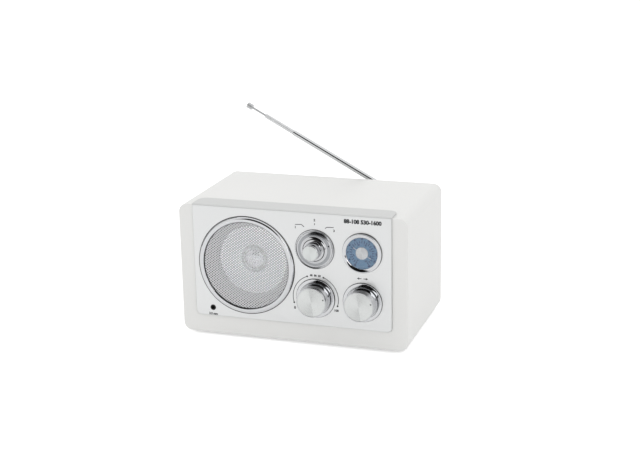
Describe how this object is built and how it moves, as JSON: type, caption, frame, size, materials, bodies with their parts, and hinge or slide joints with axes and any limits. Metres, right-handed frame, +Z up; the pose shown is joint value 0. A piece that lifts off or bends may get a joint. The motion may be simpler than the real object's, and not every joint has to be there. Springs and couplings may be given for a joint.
{
  "type": "tabletop radio",
  "caption": "Tabletop radio with a white cabinet, silver front, round speaker grille, chrome knobs, round tuning dial and folding telescopic antenna.",
  "frame": {"origin": "centre of the cabinet's footprint, on the plane that the rubber feet stand on", "axes": "+Z up, -Y out of the front with the knobs and grille, +X to the right seen from the front"},
  "size_m": [0.245, 0.1749, 0.2193],
  "materials": {
    "cabinet_lacquer": "smooth satin white lacquer over fibreboard",
    "plain_wood": "raw pine",
    "back_board": "moulded light grey panel, fine texture",
    "black_screws": "blackened steel",
    "feet_rubber": "matt moulded rubber",
    "zinc_screws": "zinc plated",
    "silver_moulding": "moulding sprayed satin silver",
    "satin_plate": "satin silver-white anodised sheet with printed marks",
    "chrome_trim": "polished chrome",
    "chrome_knob": "polished chrome",
    "chrome_antenna": "polished chrome on brass tube",
    "grille_mesh": "fine perforated sheet, silver lacquer",
    "zinc_steel": "zinc plated pressed steel",
    "surround_rubber": "soft black rubber",
    "cone_paper": "coated light grey paper",
    "dust_cap_paper": "coated light grey paper",
    "copper_winding": "enamelled copper wire",
    "spider_cloth": "impregnated yellow cloth",
    "ferrite": "dark grey ferrite",
    "spun_aluminium": "fine spun rings",
    "brass_shaft": "turned brass",
    "control_steel": "nickel plated case",
    "control_plastic": "ivory case",
    "gear_acetal": "moulded natural acetal",
    "clear_lens": "clear flat window",
    "blue_scale": "translucent blue-grey printed disc",
    "white_pointer": "white enamel",
    "circuit_board": "green solder mask",
    "jack_plastic": "black moulding",
    "transformer_steel": "varnished laminations",
    "black_plastic": "black moulding"
  },
  "bodies": {
    "radio": {"front_baffle": "plain_wood", "cabinet_shell": "cabinet_lacquer", "corner_blocks": "plain_wood", "back_panel": "back_board", "back_screws": "black_screws", "rubber_feet": "feet_rubber", "short_screws": "zinc_screws", "long_screws": "zinc_screws", "front_panel": "silver_moulding", "face_plate": "satin_plate", "control_bezels": "chrome_trim", "speaker_ring": "chrome_trim", "speaker_grille": "grille_mesh", "speaker_basket": "zinc_steel", "speaker_surround": "surround_rubber", "speaker_spider": "spider_cloth", "speaker_yoke": "zinc_steel", "speaker_magnet": "ferrite", "volume_control": "control_steel", "band_switch": "control_steel", "tuning_bush": "brass_shaft", "idler_pin": "zinc_steel", "gear_bracket": "zinc_steel", "tuning_capacitor": "control_plastic", "dial_bezel": "chrome_trim", "dial_lens": "clear_lens", "dial_scale": "blue_scale", "lamp_board": "circuit_board", "line_in_jack": "jack_plastic", "main_board": "circuit_board", "board_standoffs": "brass_shaft", "ferrite_rod": "ferrite", "mains_transformer": "transformer_steel", "mains_inlet": "black_plastic", "antenna_bushing": "black_plastic"},
    "volume": {"volume_knob": "chrome_knob", "volume_knob_face": "spun_aluminium", "volume_shaft": "brass_shaft"},
    "selector": {"selector_knob": "chrome_knob", "selector_cap": "spun_aluminium", "selector_shaft": "brass_shaft"},
    "tuning": {"tuning_knob": "chrome_knob", "tuning_knob_face": "spun_aluminium", "tuning_shaft": "brass_shaft", "tuning_pinion": "gear_acetal"},
    "idler": {"idler_gear": "gear_acetal"},
    "dial": {"dial_gear": "gear_acetal", "dial_shaft": "brass_shaft", "dial_pointer": "white_pointer", "dial_hub_cap": "spun_aluminium"},
    "cone": {"speaker_cone": "cone_paper", "speaker_dust_cap": "dust_cap_paper", "voice_coil": "copper_winding"},
    "antenna_swivel_head": {"antenna_head": "chrome_antenna", "hinge_pin": "chrome_antenna"},
    "antenna_mast": {"antenna_tube_1": "chrome_antenna"},
    "antenna_second": {"antenna_tube_2": "chrome_antenna"},
    "antenna_third": {"antenna_tube_3": "chrome_antenna"},
    "antenna_last": {"antenna_rod": "chrome_antenna", "antenna_tip": "chrome_antenna"}
  },
  "joints": [
    {"name": "volume_turn", "type": "hinge", "parent": "radio", "child": "volume", "pos_m": [0.0262, -0.082, 0.0527], "axis": [0, 1, 0], "range_deg": [-201, 39]},
    {"name": "selector_turn", "type": "hinge", "parent": "radio", "child": "selector", "pos_m": [0.0262, -0.082, 0.1047], "axis": [0, 1, 0], "range_deg": [-104, 0]},
    {"name": "tuning_turn", "type": "hinge", "parent": "radio", "child": "tuning", "pos_m": [0.076, -0.082, 0.0527], "axis": [0, 1, 0], "range_deg": [-90, 450]},
    {"name": "idler_turn", "type": "hinge", "parent": "radio", "child": "idler", "pos_m": [0.076, -0.0637, 0.0715], "axis": [0, 1, 0], "range_deg": [-279.4, 55.9]},
    {"name": "dial_turn", "type": "hinge", "parent": "radio", "child": "dial", "pos_m": [0.076, -0.0637, 0.1047], "axis": [0, 1, 0], "range_deg": [-30, 150]},
    {"name": "cone_travel", "type": "slide", "parent": "radio", "child": "cone", "axis": [0, 1, 0], "range_m": [-0.0015, 0.0015], "stiffness_N_per_m": 1200, "deforming": ["speaker_surround", "speaker_spider"]},
    {"name": "antenna_swivel", "type": "hinge", "parent": "radio", "child": "antenna_swivel_head", "pos_m": [0.089, 0.08075, 0.1137], "axis": [0, 1, 0], "range_deg": [-28.35, 151.65]},
    {"name": "antenna_tilt", "type": "hinge", "parent": "antenna_swivel_head", "child": "antenna_mast", "pos_m": [0.089, 0.08075, 0.1137], "axis": [-0.4749, 0, -0.8801], "range_deg": [0, 90]},
    {"name": "antenna_slide_2", "type": "slide", "parent": "antenna_mast", "child": "antenna_second", "axis": [-0.8801, 0, 0.4749], "range_m": [-0.0362, 0.098]},
    {"name": "antenna_slide_3", "type": "slide", "parent": "antenna_second", "child": "antenna_third", "axis": [-0.8801, 0, 0.4749], "range_m": [0, 0.13]},
    {"name": "antenna_slide_4", "type": "slide", "parent": "antenna_third", "child": "antenna_last", "axis": [-0.8801, 0, 0.4749], "range_m": [-0.0162, 0.11]}
  ],
  "couplings": [
    {"joint": "idler_turn", "follows": "tuning_turn", "ratio": -0.62069},
    {"joint": "dial_turn", "follows": "tuning_turn", "ratio": 0.33333}
  ]
}
